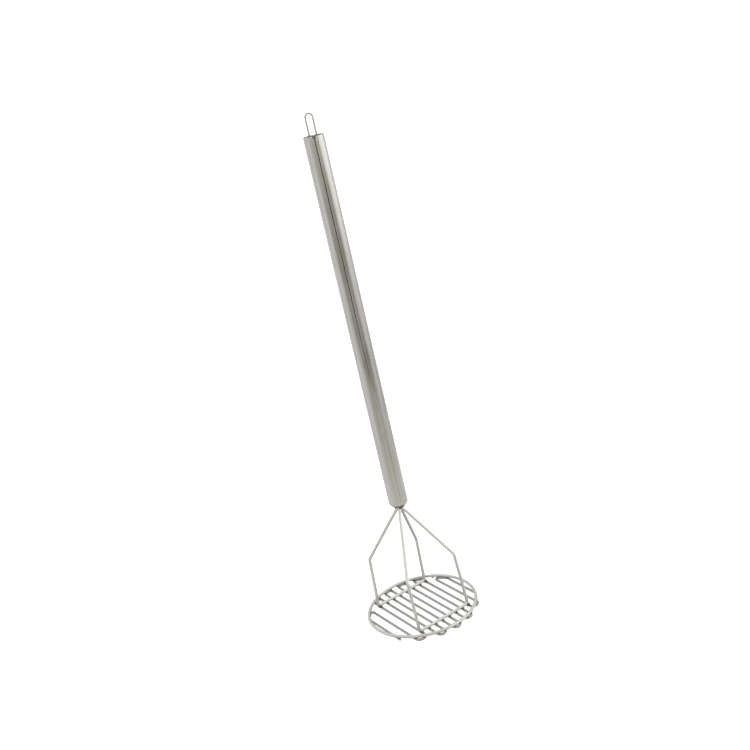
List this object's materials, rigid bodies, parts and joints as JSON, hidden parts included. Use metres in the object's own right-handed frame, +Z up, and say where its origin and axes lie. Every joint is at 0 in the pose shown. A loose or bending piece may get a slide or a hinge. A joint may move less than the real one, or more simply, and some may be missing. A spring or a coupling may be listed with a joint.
{
  "type": "wire masher",
  "caption": "Long-handled wire masher: open-seamed tube handle with a wire hanging loop, bent wire frame legs, and a round head of parallel bars under a rim ring.",
  "frame": {"origin": "on the table under the handle's axis, with the masher standing on its grid", "axes": "+Z up along the handle to the hanging loop, bars of the grid along X with the wire's free ends at +X, crossbars along Y"},
  "size_m": [0.1399, 0.1382, 0.6096],
  "materials": {
    "handle_steel": "satin brushed",
    "frame_wire_steel": "drawn and tumbled",
    "head_wire_steel": "drawn and tumbled",
    "loop_wire_steel": "drawn",
    "spot_weld": "matt, heat tinted",
    "neck_braze": "rough weld metal"
  },
  "bodies": {
    "root": {"handle_tube": "handle_steel", "hanging_loop": "loop_wire_steel", "loop_welds": "spot_weld", "left_frame_wire": "frame_wire_steel", "right_frame_wire": "frame_wire_steel", "neck_weld": "neck_braze", "rim_ring": "head_wire_steel", "mashing_grid": "head_wire_steel", "rim_welds": "spot_weld", "crossbar_welds": "spot_weld"}
  },
  "joints": []
}
